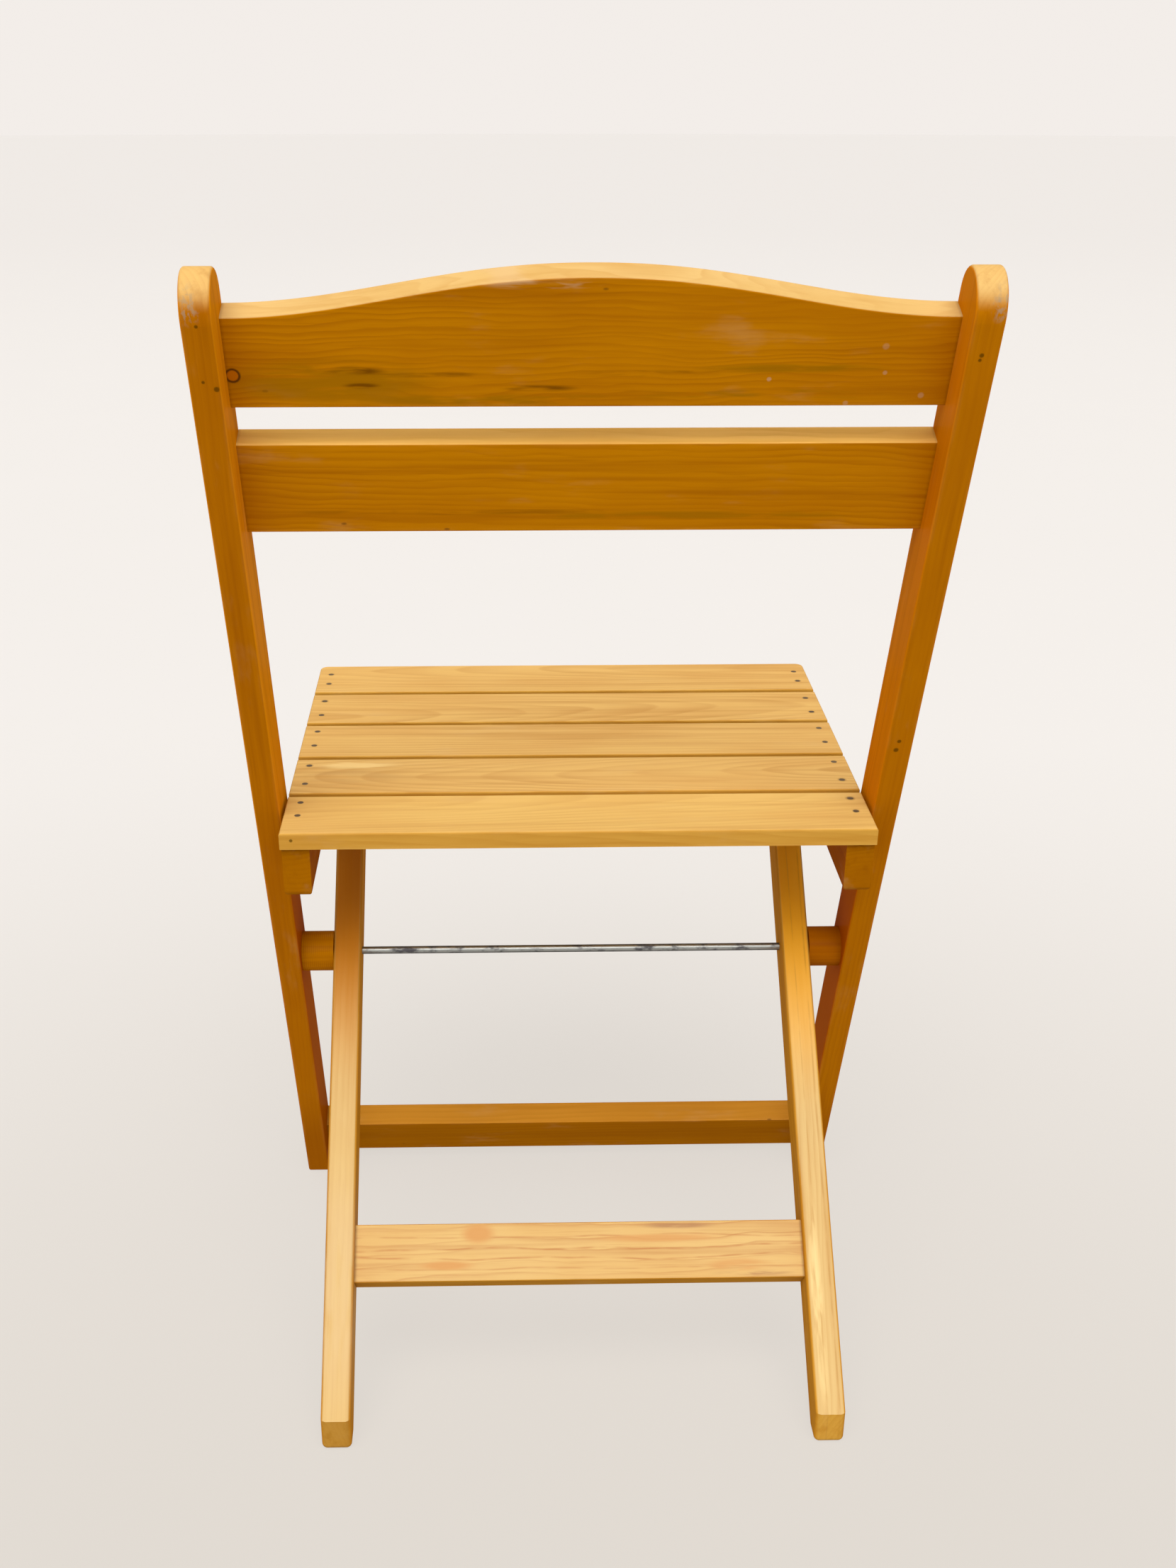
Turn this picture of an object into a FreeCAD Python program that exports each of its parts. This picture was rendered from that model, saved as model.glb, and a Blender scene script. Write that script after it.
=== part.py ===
"""Folding slatted chair in pine, standing open.

Origin on the floor, midway between the uprights and under the chair's centre.
+X to the chair's left as a sitter sees it, -Y the way a sitter faces, +Z up.  Millimetres.
The uprights are back posts and front legs in one.  The rear legs cross inside them on a steel rod.
"""
import FreeCAD, Part
import math
import os
from FreeCAD import Vector

# ---- driving dimensions -------------------------------------------------------------------------
inner_width = 432.0            # clear distance between the uprights
pivot_height = 264.0           # floor to the steel rod that the legs turn on

upright_thick = 18.5
upright_deep = 44.0
upright_lean = math.radians(22.0)
upright_reach = 573.0          # rod to the top end, along the upright

leg_thick = 21.7
leg_deep = 31.0
leg_lean = math.radians(48.0)
leg_gap = 25.7                 # upright's inner face to the leg's outer face
heel_height = 26.0             # upright cut across the heel of the leg

rail_setback = 25.5            # back rails, in from the uprights' rear faces
rail_thick = 18.5
crest_low, crest_end, crest_peak = 484.5, 542.5, 566.7      # rod to the rail's edges, along the upright
crest_power = 1.08             # above 1 broadens the swelling
crest_points = 24              # spaces between the points of its curve
lower_rail_low, lower_rail_high = 396.0, 459.5

front_bar_low, front_bar_high = -269.7, -232.5
front_bar_setback, front_bar_thick = 19.5, 22.5
rear_board_low, rear_board_high = -271.0, -227.0
rear_board_setback, rear_board_thick = 6.8, 18.5

slat_count = 5
slat_length = 428.0
slat_wide = 67.0
slat_thick = 12.6
slat_gap = 6.0
seat_tilt = math.radians(2.2)
seat_rear_y = 116.0            # rear top edge of the last slat, behind the rod
seat_rear_height = 413.0
seat_corner_radius = 7.0       # the two front corners, in plan

seat_rail_thick = 20.0
seat_rail_high = 38.5
seat_rail_inset = 0.9          # slat end to the rail's outer face
seat_rail_ends = 9.0           # the rail stops short of the seat's front edge
seat_rail_rear = 3.0           # and of its rear edge
pin_drop = 18.0                # slat underside to the line of the seat screw and of the groove

rod_radius = 3.0
slide_rod_proud = 0.2          # past the legs' outer faces
running_clearance = 0.06
face_clearance = 0.3           # between wooden faces that turn against each other
spacer_radius = 16.0
counterbore_radius, counterbore_deep = 9.0, 6.5
washer_radius, washer_thick = 8.0, 1.2
nut_across, nut_thick, hexagon_sides = 10.0, 4.0, 6

groove_deep = 8.0
groove_half = rod_radius + 0.4
screw_shank = 3.0
screw_head = 6.5
screw_reach = 15.0             # screw length inside the seat rail
bush_radius = 8.0
clip_thick, clip_radius = 1.2, 6.0

dowel_radius, dowel_length, dowel_in_post = 4.0, 30.0, 12.0
nail_head_radius, nail_head_thick = 2.3, 0.8
nail_radius, nail_length = 0.9, 30.0
nail_inset = 10.5              # slat end to the nails
# the hand-driven nails' distances from each slat's front edge, slat 1 first
nail_rows = ((22.0, 46.0), (16.0, 49.0), (13.5, 44.0), (13.0, 49.0), (11.5, 35.0))

upright_arris = 2.0            # rounding of the long edges
leg_arris = 3.0
foot_radius = 3.0              # corners across the chair at floor level
leg_foot_radius = 4.0          # round the heel and the sides of the sole
rail_arris = 1.2
seat_rail_arris = 4.0
slat_arris = 1.5

cut_over = 1.0                 # how far a cutting tool runs past the face it opens
touch = 0.01                   # tolerance when edges are picked by place
near_floor = 1.0               # edges whose middles lie lower than this are at floor level

# The rod's place front to back, which puts the chair's middle over the origin.
seat_depth = slat_count * slat_wide + (slat_count - 1) * slat_gap
seat_front = seat_rear_y - seat_depth * math.cos(seat_tilt) - slat_thick * math.sin(seat_tilt)
heel_y = (pivot_height - heel_height) * math.tan(leg_lean) + leg_deep / 2 / math.cos(leg_lean)
pivot_y = -(seat_front + heel_y) / 2

half_inner = inner_width / 2
leg_outer = half_inner - leg_gap
leg_inner = leg_outer - leg_thick
slide_rod_end = leg_outer + slide_rod_proud
seat_rail_outer = slat_length / 2 - seat_rail_inset
seat_rail_inner = seat_rail_outer - seat_rail_thick
SIDES = (("left", 1), ("right", -1))

# ---- side-view frames: a point, a direction along the bar and a direction out of its rear face --------
pivot = Vector(0, pivot_y, pivot_height)
post_along = Vector(0, math.sin(upright_lean), math.cos(upright_lean))
post_rear = Vector(0, math.cos(upright_lean), -math.sin(upright_lean))
leg_along = Vector(0, -math.sin(leg_lean), math.cos(leg_lean))
leg_rear = Vector(0, math.cos(leg_lean), math.sin(leg_lean))
seat_rear_edge = Vector(0, pivot_y + seat_rear_y, seat_rear_height)
seat_along = Vector(0, -math.cos(seat_tilt), math.sin(seat_tilt))
seat_up = Vector(0, math.sin(seat_tilt), math.cos(seat_tilt))


def on_post(along, rear):
    return pivot + post_along * along + post_rear * rear


def on_leg(along, rear):
    return pivot + leg_along * along + leg_rear * rear


def on_seat(forward, above):
    return seat_rear_edge + seat_along * forward + seat_up * above


def meet(point_a, way_a, point_b, way_b):
    """Where two lines in the side view cross."""
    cross = way_a.y * way_b.z - way_a.z * way_b.y
    gap = point_b - point_a
    return point_a + way_a * ((gap.y * way_b.z - gap.z * way_b.y) / cross)


def at_height(point, way, height):
    """Where a line in the side view reaches a height."""
    return point + way * ((height - point.z) / way.z)


pin_line = on_seat(0, -slat_thick - pin_drop)
seat_pivot = meet(pivot, post_along, pin_line, seat_along)
slide_pin = meet(pivot, leg_along, pin_line, seat_along)
leg_reach = (slide_pin - pivot).Length


# ---- building blocks ----------------------------------------------------------------------------
def prism(edges, x_low, x_high):
    """A closed side-view outline drawn across from one X to another."""
    face = Part.Face(Part.Wire(Part.__sortEdges__(edges)))
    face.translate(Vector(x_low, 0, 0))
    return face.extrude(Vector(x_high - x_low, 0, 0))


def line(start, end):
    return Part.LineSegment(start, end).toShape()


def arc(start, middle, end):
    return Part.Arc(start, middle, end).toShape()


def polygon(points):
    return [line(a, b) for a, b in zip(points, points[1:] + points[:1])]


def rod(centre, x_low, x_high, radius):
    """A round bar along X through a point of the side view."""
    start = Vector(x_low, centre.y, centre.z)
    return Part.makeCylinder(radius, x_high - x_low, start, Vector(1, 0, 0))


def side_rod(centre, side, x_near, x_far, radius):
    """A round bar along X on one side of the chair."""
    return rod(centre, min(side * x_near, side * x_far), max(side * x_near, side * x_far), radius)


def round_edges(solid, radius, wanted):
    edges = [edge for edge in solid.Edges if wanted(edge)]
    return solid.makeFillet(radius, edges)


def runs_along_side(edge):
    """Edges that lie in a side face, rather than across the chair."""
    box = edge.BoundBox
    return box.XLength < touch


def across(edge):
    box = edge.BoundBox
    return box.YLength < touch and box.ZLength < touch


def save(name, solid):
    solid.exportStep("parts/" + name + ".step")


# ---- fasteners that cut their own seats -------------------------------------------------------------
def rail_dowels(centres, x_face):
    """Two dowels at each end of a rail whose end faces stand at +-x_face."""
    dowels = []
    for _, side in SIDES:
        for centre in centres:
            outer = x_face + dowel_in_post
            inner = outer - dowel_length
            dowels.append(side_rod(centre, side, inner, outer, dowel_radius))
    return Part.makeCompound(dowels)


def rail_dowel_centres(place, low, high, middle_depth):
    """Side-view centres at the quarter points of a rail's height."""
    quarter = (high - low) / 4
    return [place(low + quarter, middle_depth), place(high - quarter, middle_depth)]


post_half = upright_deep / 2
leg_half = leg_deep / 2
back_rail_middle = post_half - rail_setback - rail_thick / 2
front_bar_middle = post_half - front_bar_setback - front_bar_thick / 2
rear_board_middle = leg_half - rear_board_setback - rear_board_thick / 2

crest_rail_dowels = rail_dowels(
    rail_dowel_centres(on_post, crest_low, crest_end, back_rail_middle), half_inner)
lower_rail_dowels = rail_dowels(
    rail_dowel_centres(on_post, lower_rail_low, lower_rail_high, back_rail_middle), half_inner)
front_stretcher_dowels = rail_dowels(
    rail_dowel_centres(on_post, front_bar_low, front_bar_high, front_bar_middle), half_inner)
rear_stretcher_dowels = rail_dowels(
    rail_dowel_centres(on_leg, rear_board_low, rear_board_high, rear_board_middle), leg_inner)


def slat_nail(x, forward, tip_length):
    """A flat-headed nail driven square into the seat, its head flush with the slat."""
    top = on_seat(forward, 0) + Vector(x, 0, 0)
    head = Part.makeCylinder(nail_head_radius, nail_head_thick, top, seat_up * -1)
    shank = Part.makeCylinder(nail_radius, tip_length, top, seat_up * -1)
    return head.fuse(shank).removeSplitter()


def slat_rear_edge(number):
    """Distance of a slat's rear edge from the seat's rear edge.  Slat 1 is at the front."""
    return (slat_count - number) * (slat_wide + slat_gap)


nail_x = slat_length / 2 - nail_inset
slat_nails = Part.makeCompound([
    slat_nail(side * nail_x, slat_rear_edge(number) + slat_wide - behind, nail_length)
    for number, row in enumerate(nail_rows, 1)
    for behind in row
    for _, side in SIDES
])


# ---- wooden parts -------------------------------------------------------------------------------
def upright(side):
    """Back post and front leg: half-round top, foot cut level with the floor."""
    shoulder = upright_reach - post_half
    foot_rear = at_height(on_post(0, post_half), post_along, 0)
    foot_front = at_height(on_post(0, -post_half), post_along, 0)
    outline = [
        line(foot_rear, on_post(shoulder, post_half)),
        arc(on_post(shoulder, post_half), on_post(upright_reach, 0), on_post(shoulder, -post_half)),
        line(on_post(shoulder, -post_half), foot_front),
        line(foot_front, foot_rear),
    ]
    near, far = side * half_inner, side * (half_inner + upright_thick)
    post = prism(outline, min(near, far), max(near, far))
    post = round_edges(post, foot_radius, foot_corner)
    post = round_edges(post, upright_arris, runs_along_side)
    outer = half_inner + upright_thick
    start, end = half_inner - cut_over, outer + cut_over
    post = post.cut(side_rod(pivot, side, start, end, rod_radius + running_clearance))
    post = post.cut(side_rod(pivot, side, outer - counterbore_deep, end, counterbore_radius))
    post = post.cut(side_rod(seat_pivot, side, start, end, screw_shank + running_clearance))
    post = post.cut(countersink(side, running_clearance))
    for dowels in (crest_rail_dowels, lower_rail_dowels, front_stretcher_dowels):
        post = post.cut(dowels)
    return post


def foot_corner(edge):
    """The corners across the chair at floor level."""
    return across(edge) and edge.CenterOfMass.z < near_floor


def foot_room(low, high, heel):
    """The space between two X, above the floor and ahead of the heel, its corners rounded."""
    deep = 2 * upright_reach
    room = Part.makeBox(high - low, deep, upright_reach, Vector(low, heel - deep, 0))

    def meets_heel_corner(edge):
        return any(v.Y > heel - touch and v.Z < touch for v in edge.Vertexes)
    return round_edges(room, leg_foot_radius, meets_heel_corner)


def countersink(side, clearance):
    """The cone of the seat screw's head, at the upright's outer face."""
    outer = half_inner + upright_thick
    depth = screw_head - screw_shank
    start = Vector(side * (outer - depth), seat_pivot.y, seat_pivot.z)
    return Part.makeCone(screw_shank + clearance, screw_head + clearance, depth, start, Vector(side, 0, 0))


def leg(side):
    """Rear leg: half-round top round the slide rod, level foot with the heel cut upright."""
    top_front, top_rear = on_leg(leg_reach, -leg_half), on_leg(leg_reach, leg_half)
    heel_top = at_height(on_leg(0, leg_half), leg_along, heel_height)
    rear_foot = at_height(on_leg(0, leg_half), leg_along, 0)
    toe = at_height(on_leg(0, -leg_half), leg_along, 0)
    outline = [
        arc(top_front, on_leg(leg_reach + leg_half, 0), top_rear),
        line(top_rear, rear_foot),
        line(rear_foot, toe),
        line(toe, top_front),
    ]
    low, high = sorted((side * leg_inner, side * leg_outer))
    bar = prism(outline, low, high)
    bar = round_edges(bar, foot_radius, foot_corner)
    bar = round_edges(bar, leg_arris, runs_along_side)
    bar = bar.common(foot_room(low, high, heel_top.y))
    for centre in (pivot, slide_pin):
        bar = bar.cut(rod(centre, low - cut_over, high + cut_over, rod_radius + running_clearance))
    return bar.cut(rear_stretcher_dowels)


def bar_between(place, half_depth, low, high, setback, thick, half_length):
    """A straight rail between two posts or legs."""
    rear = half_depth - setback
    corners = [place(low, rear), place(high, rear), place(high, rear - thick), place(low, rear - thick)]
    bar = prism(polygon(corners), -half_length, half_length)
    return round_edges(bar, rail_arris, across_length(half_length))


def across_length(half_length):
    """Picks the long edges of a rail that reaches from -half_length to +half_length."""
    return lambda edge: edge.BoundBox.XLength > 2 * half_length - touch


def crest_outline():
    """Front view of the crest rail: level at the ends, swelling to a peak in the middle."""
    swell = crest_peak - crest_end
    points = []
    for step in range(crest_points + 1):
        x = half_inner * (2 * step / crest_points - 1)
        share = abs(x / half_inner) ** crest_power
        points.append(Vector(x, 0, crest_end + swell * (1 + math.cos(math.pi * share)) / 2))
    return points


def crest():
    top = crest_outline()
    curve = Part.BSplineCurve()
    curve.interpolate(top)
    low_left, low_right = Vector(-half_inner, 0, crest_low), Vector(half_inner, 0, crest_low)
    edges = [curve.toShape(), line(top[-1], low_right), line(low_right, low_left), line(low_left, top[0])]
    board = Part.Face(Part.Wire(edges)).extrude(Vector(0, rail_thick, 0))
    lengthwise = [edge for edge in board.Edges if edge.BoundBox.XLength > inner_width - cut_over]
    board = board.makeFillet(rail_arris, lengthwise)
    turn = FreeCAD.Rotation(Vector(1, 0, 0), -math.degrees(upright_lean))
    place = FreeCAD.Placement(on_post(0, post_half - rail_setback - rail_thick), turn)
    board = board.transformGeometry(place.toMatrix())
    return board.cut(crest_rail_dowels)


def seat_slat(number):
    rear = slat_rear_edge(number)
    corners = [on_seat(rear, 0), on_seat(rear + slat_wide, 0),
               on_seat(rear + slat_wide, -slat_thick), on_seat(rear, -slat_thick)]
    board = prism(polygon(corners), -slat_length / 2, slat_length / 2)
    if number == 1:
        board = round_front_corners(board)
    board = round_edges(board, slat_arris, top_edge)
    return board.cut(slat_nails)


def top_edge(edge):
    """Edges that lie in the seat's upper face."""
    return all(abs((v.Point - seat_rear_edge).dot(seat_up)) < touch for v in edge.Vertexes)


def round_front_corners(board):
    """The seat's two front corners, rounded in plan."""
    def upright_front(edge):
        ahead = (edge.CenterOfMass - seat_rear_edge).dot(seat_along)
        box = edge.BoundBox
        upright = box.XLength < touch and box.ZLength > slat_thick / 2
        return upright and ahead > seat_depth - touch
    return round_edges(board, seat_corner_radius, upright_front)


def seat_rail(side):
    """Bar under the slat ends, with the groove for the slide rod in its inner face."""
    rear, front = seat_rail_rear, seat_depth - seat_rail_ends
    top, bottom = -slat_thick, -slat_thick - seat_rail_high
    corners = [on_seat(rear, top), on_seat(front, top), on_seat(front, bottom), on_seat(rear, bottom)]
    low, high = sorted((side * seat_rail_inner, side * seat_rail_outer))
    bar = prism(polygon(corners), low, high)
    bar = round_edges(bar, seat_rail_arris, lower_edge)
    bar = bar.cut(groove(side))
    tip = seat_rail_outer - screw_reach
    bar = bar.cut(side_rod(seat_pivot, side, tip, seat_rail_outer + cut_over, screw_shank))
    return bar.cut(slat_nails)


def lower_edge(edge):
    """Edges in the underside of a seat rail."""
    depth = slat_thick + seat_rail_high
    return all(abs((v.Point - seat_rear_edge).dot(seat_up) + depth) < touch for v in edge.Vertexes)


def groove(side):
    """Round-ended groove from where the slide rod stands open to where it stands folded."""
    folded_reach = leg_reach - (seat_pivot - pivot).Length
    near = seat_pivot + seat_along * folded_reach
    open_x, deep = seat_rail_inner - cut_over, seat_rail_inner + groove_deep
    ends = [side_rod(centre, side, open_x, deep, groove_half) for centre in (near, slide_pin)]
    up = seat_up * groove_half
    corners = [near + up, slide_pin + up, slide_pin - up, near - up]
    low, high = sorted((side * open_x, side * deep))
    return prism(polygon(corners), low, high).fuse(ends)


def spacer(side):
    ring = side_rod(pivot, side, leg_outer + face_clearance, half_inner, spacer_radius)
    hole = rod_radius + running_clearance
    return ring.cut(side_rod(pivot, side, leg_outer - cut_over, half_inner + cut_over, hole))


# ---- steel parts --------------------------------------------------------------------------------
def rod_washer(side):
    seat = half_inner + upright_thick - counterbore_deep
    top = seat + washer_thick
    ring = side_rod(pivot, side, seat, top, washer_radius)
    hole = rod_radius + running_clearance
    return ring.cut(side_rod(pivot, side, seat - cut_over, top + cut_over, hole))


def rod_nut(side):
    """Hexagon nut sunk below the upright's outer face."""
    seat = half_inner + upright_thick - counterbore_deep + washer_thick
    radius = nut_across / math.sqrt(3)
    corners = []
    for step in range(hexagon_sides):
        turn = 2 * math.pi * step / hexagon_sides
        corners.append(pivot + Vector(0, radius * math.cos(turn), radius * math.sin(turn)))
    low, high = sorted((side * seat, side * (seat + nut_thick)))
    return prism(polygon(corners), low, high).cut(rod(pivot, low - cut_over, high + cut_over, rod_radius))


def seat_screw(side):
    """Countersunk screw that the seat turns on, driven into the seat rail."""
    tip, outer = seat_rail_outer - screw_reach, half_inner + upright_thick
    shank = side_rod(seat_pivot, side, tip, outer - (screw_head - screw_shank) / 2, screw_shank)
    return shank.fuse(countersink(side, 0)).removeSplitter()


def seat_bush(side):
    near, far = seat_rail_outer, half_inner - face_clearance
    ring = side_rod(seat_pivot, side, near, far, bush_radius)
    hole = screw_shank + running_clearance
    return ring.cut(side_rod(seat_pivot, side, near - cut_over, far + cut_over, hole))


def slide_clip(side):
    """Push-on ring on the slide rod, against the leg's inner face."""
    inner = leg_inner - clip_thick
    ring = side_rod(slide_pin, side, inner, leg_inner, clip_radius)
    return ring.cut(side_rod(slide_pin, side, inner - cut_over, leg_inner + cut_over, rod_radius))


def write_parts():
    for name, side in SIDES:
        save(name + "_upright", upright(side))
        save(name + "_leg", leg(side))
        save(name + "_seat_rail", seat_rail(side))
        save(name + "_spacer", spacer(side))
        save(name + "_rod_washer", rod_washer(side))
        save(name + "_rod_nut", rod_nut(side))
        save(name + "_seat_screw", seat_screw(side))
        save(name + "_seat_bush", seat_bush(side))
    save("crest_rail", crest())
    lower_rail = bar_between(on_post, post_half, lower_rail_low, lower_rail_high,
                             rail_setback, rail_thick, half_inner)
    save("lower_back_rail", lower_rail.cut(lower_rail_dowels))
    front_bar = bar_between(on_post, post_half, front_bar_low, front_bar_high,
                            front_bar_setback, front_bar_thick, half_inner)
    save("front_stretcher", front_bar.cut(front_stretcher_dowels))
    rear_board = bar_between(on_leg, leg_half, rear_board_low, rear_board_high,
                             rear_board_setback, rear_board_thick, leg_inner)
    save("rear_stretcher", rear_board.cut(rear_stretcher_dowels))
    for number in range(1, slat_count + 1):
        save("seat_slat_" + str(number), seat_slat(number))
    save("slat_nails", slat_nails)
    save("crest_rail_dowels", crest_rail_dowels)
    save("lower_rail_dowels", lower_rail_dowels)
    save("front_stretcher_dowels", front_stretcher_dowels)
    save("rear_stretcher_dowels", rear_stretcher_dowels)
    rod_end = half_inner + upright_thick - counterbore_deep + washer_thick + nut_thick
    save("pivot_rod", rod(pivot, -rod_end, rod_end, rod_radius))
    save("slide_rod", rod(slide_pin, -slide_rod_end, slide_rod_end, rod_radius))
    save("slide_rod_clips", Part.makeCompound([slide_clip(side) for _, side in SIDES]))


os.makedirs("parts", exist_ok=True)
write_parts()
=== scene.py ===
"""Looks of the folding slatted chair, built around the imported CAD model.  Metres, row frame."""
import bpy
import math
from mathutils import Matrix, Vector

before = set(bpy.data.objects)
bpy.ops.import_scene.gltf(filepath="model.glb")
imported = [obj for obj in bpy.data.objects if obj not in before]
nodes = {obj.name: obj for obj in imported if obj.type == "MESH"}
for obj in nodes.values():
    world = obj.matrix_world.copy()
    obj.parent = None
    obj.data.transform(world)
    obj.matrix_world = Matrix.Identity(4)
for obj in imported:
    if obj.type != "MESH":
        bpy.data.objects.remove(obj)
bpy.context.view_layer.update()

# ---- directions of the timbers --------------------------------------------------------------------
LEAN = math.radians(22.0)         # uprights, off the vertical
LEG_LEAN = math.radians(48.0)
SEAT_TILT = math.radians(2.2)
ACROSS = Vector((1, 0, 0))
POST_UP = Vector((0, math.sin(LEAN), math.cos(LEAN)))
POST_REAR = Vector((0, math.cos(LEAN), -math.sin(LEAN)))
LEG_UP = Vector((0, -math.sin(LEG_LEAN), math.cos(LEG_LEAN)))
LEG_REAR = Vector((0, math.cos(LEG_LEAN), math.sin(LEG_LEAN)))
SEAT_FRONT = Vector((0, -math.cos(SEAT_TILT), math.sin(SEAT_TILT)))
SEAT_UP = Vector((0, math.sin(SEAT_TILT), math.cos(SEAT_TILT)))
# each set: along the grain, out of the widest face, across that face
BACK_BOARD = (ACROSS, POST_REAR, POST_UP)
REAR_BOARD = (ACROSS, LEG_REAR, LEG_UP)
SLAT = (ACROSS, SEAT_UP, SEAT_FRONT)
POST = (POST_UP, POST_REAR, ACROSS)
LEG = (LEG_UP, LEG_REAR, ACROSS)
SEAT_RAIL = (SEAT_FRONT, ACROSS, SEAT_UP)
TURNED = (ACROSS, POST_REAR, POST_UP)


# ---- a short way to write node trees -------------------------------------------------------------
class Tree:
    """Adds nodes to a material; a number, a colour or another node's output can feed any input."""

    def __init__(self, name):
        self.material = bpy.data.materials.new(name)
        self.material.use_nodes = True
        self.tree = self.material.node_tree
        self.shader = self.tree.nodes["Principled BSDF"]

    def feed(self, socket, value):
        if isinstance(value, bpy.types.NodeSocket):
            self.tree.links.new(value, socket)
        elif isinstance(value, (int, float)) or socket.type == "VALUE":
            socket.default_value = value
        elif socket.type == "RGBA":
            socket.default_value = (value[0], value[1], value[2], 1.0)
        else:
            socket.default_value = value

    def math(self, operation, *values):
        node = self.tree.nodes.new("ShaderNodeMath")
        node.operation = operation
        for socket, value in zip(node.inputs, values):
            self.feed(socket, value)
        return node.outputs[0]

    def vector(self, operation, *values):
        node = self.tree.nodes.new("ShaderNodeVectorMath")
        node.operation = operation
        for socket, value in zip(node.inputs, values):
            self.feed(socket, value)
        return node.outputs["Value" if operation in ("DOT_PRODUCT", "LENGTH", "DISTANCE") else "Vector"]

    def join(self, x, y, z):
        node = self.tree.nodes.new("ShaderNodeCombineXYZ")
        for socket, value in zip(node.inputs, (x, y, z)):
            self.feed(socket, value)
        return node.outputs[0]

    def stretched(self, u, v, w, along, out, across, start=0.0):
        """Board coordinates scaled one by one, so that a texture is long along the grain."""
        return self.join(self.math("MULTIPLY_ADD", u, along, start), self.math("MULTIPLY", v, out),
                         self.math("MULTIPLY", w, across))

    def noise(self, vector, scale=1.0, detail=2.0, roughness=0.5, distortion=0.0):
        node = self.tree.nodes.new("ShaderNodeTexNoise")
        self.feed(node.inputs["Vector"], vector)
        node.inputs["Scale"].default_value = scale
        node.inputs["Detail"].default_value = detail
        node.inputs["Roughness"].default_value = roughness
        node.inputs["Distortion"].default_value = distortion
        return node.outputs["Fac"]

    def cells(self, vector, scale=1.0):
        node = self.tree.nodes.new("ShaderNodeTexVoronoi")
        self.feed(node.inputs["Vector"], vector)
        node.inputs["Scale"].default_value = scale
        return node.outputs["Distance"], node.outputs["Color"]

    def ramp(self, value, stops):
        node = self.tree.nodes.new("ShaderNodeValToRGB")
        self.feed(node.inputs[0], value)
        marks = node.color_ramp.elements
        while len(marks) < len(stops):
            marks.new(0.5)
        for mark, (place, level) in zip(marks, stops):
            mark.position = place
            mark.color = (level, level, level, 1.0)
        return node.outputs[0]

    def span(self, value, low, high, to_low=0.0, to_high=1.0):
        """Eases from one level to another as a value crosses a range."""
        node = self.tree.nodes.new("ShaderNodeMapRange")
        node.interpolation_type = "SMOOTHSTEP"
        for key, number in zip(("From Min", "From Max", "To Min", "To Max"), (low, high, to_low, to_high)):
            self.feed(node.inputs[key], number)
        self.feed(node.inputs["Value"], value)
        return node.outputs[0]

    def mix(self, amount, a, b):
        node = self.tree.nodes.new("ShaderNodeMix")
        node.data_type = "RGBA"
        node.clamp_factor = True
        self.feed(node.inputs["Factor"], amount)
        self.feed(node.inputs[6], a)
        self.feed(node.inputs[7], b)
        return node.outputs[2]

    def bump(self, height, strength, distance):
        node = self.tree.nodes.new("ShaderNodeBump")
        node.inputs["Strength"].default_value = strength
        node.inputs["Distance"].default_value = distance
        self.feed(node.inputs["Height"], height)
        self.feed(self.shader.inputs["Normal"], node.outputs["Normal"])

    def dress(self, names):
        """Gives the material to CAD nodes."""
        for name in names:
            nodes[name].data.materials.clear()
            nodes[name].data.materials.append(self.material)

    def object_normal(self):
        return self.tree.nodes.new("ShaderNodeTexCoord").outputs["Normal"]

    def object_point(self):
        return self.tree.nodes.new("ShaderNodeTexCoord").outputs["Object"]


def extents(node, axes):
    """Middle and half sizes of a CAD node measured along three directions."""
    points = [vertex.co for vertex in nodes[node].data.vertices]
    spans = []
    for axis in axes:
        reach = [point.dot(axis) for point in points]
        spans.append((min(reach), max(reach)))
    middle = sum((axis * (low + high) / 2 for axis, (low, high) in zip(axes, spans)), Vector())
    return middle, [(high - low) / 2 for low, high in spans]


# ---- varnished pine ------------------------------------------------------------------------------
# each palette: the pale early wood, the dark growth lines and the deeper patches
AMBER = dict(early=(0.505, 0.190, 0.0), late=(0.31, 0.092, 0.0), deep=(0.40, 0.130, 0.0))
RUSSET = dict(early=(0.36, 0.095, 0.0), late=(0.24, 0.050, 0.0), deep=(0.29, 0.068, 0.0))
# GOLDEN, PALE and the bleached palette colour faces that look toward the light: lighter partly from bleaching
# of the wood and partly as painted light
GOLDEN = dict(early=(0.620, 0.380, 0.124), late=(0.42, 0.205, 0.054), deep=(0.54, 0.290, 0.084))
PALE = dict(early=(0.550, 0.380, 0.160), late=(0.42, 0.225, 0.070), deep=(0.50, 0.310, 0.115))
BLEACHED_AND_LIT = dict(early=(0.590, 0.385, 0.145), late=(0.50, 0.280, 0.080), deep=(0.55, 0.335, 0.100))
# the sheltered palette colours faces that look away from the light: darker partly as painted shade
SHELTERED_AND_SHADED = dict(early=(0.47, 0.220, 0.020), late=(0.36, 0.130, 0.006), deep=(0.41, 0.170, 0.012))
SMOKED = dict(early=(0.325, 0.112, 0.0), late=(0.23, 0.068, 0.0), deep=(0.275, 0.088, 0.0))
# pale varnish bloom, partly a painted sheen
BLOOM_AND_SHEEN = (0.60, 0.42, 0.22)
PITCH = (0.10, 0.035, 0.004)
JOINT_LINE = (0.10, 0.022, 0.001)
EDGE = dict(early=(0.53, 0.285, 0.045), late=(0.40, 0.170, 0.015), deep=(0.46, 0.215, 0.025))


def between(a, b, share):
    """A palette part of the way from one to another."""
    return {key: tuple(x + (y - x) * share for x, y in zip(a[key], b[key])) for key in a}


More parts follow.
